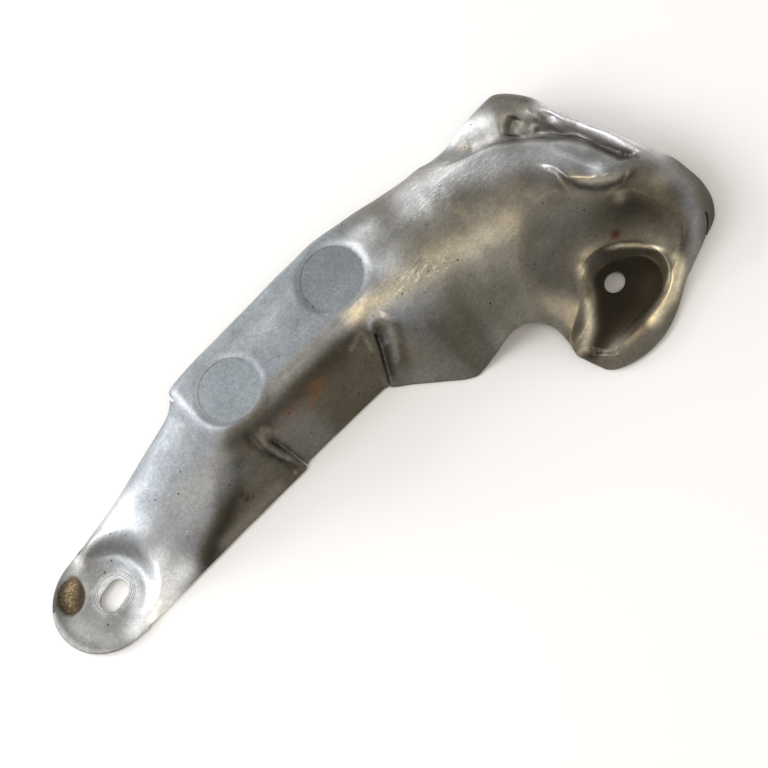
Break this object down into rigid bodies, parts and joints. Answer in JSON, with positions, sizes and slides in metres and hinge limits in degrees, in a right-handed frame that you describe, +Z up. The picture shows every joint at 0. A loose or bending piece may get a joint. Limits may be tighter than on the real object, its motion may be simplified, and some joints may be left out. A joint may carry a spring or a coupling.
{
  "type": "heat shield",
  "caption": "Pressed sheet heat shield: an arched, stepped body with a slotted tab at one end and an elbow-shaped head with a dished bolt seat at the other.",
  "frame": {"origin": "centre of the bounding box in X and Y, at the lowest edge of the sheet in Z", "axes": "+X along the shield from the slotted tab to the head, +Y from the concave near side to the far side, +Z up through the outside of the arch"},
  "size_m": [0.2418, 0.1012, 0.0358],
  "materials": {
    "aluminised_steel": "dull, lightly grained, worn and heat-stained"
  },
  "bodies": {
    "root": {"heat_shield": "aluminised_steel"}
  },
  "joints": []
}
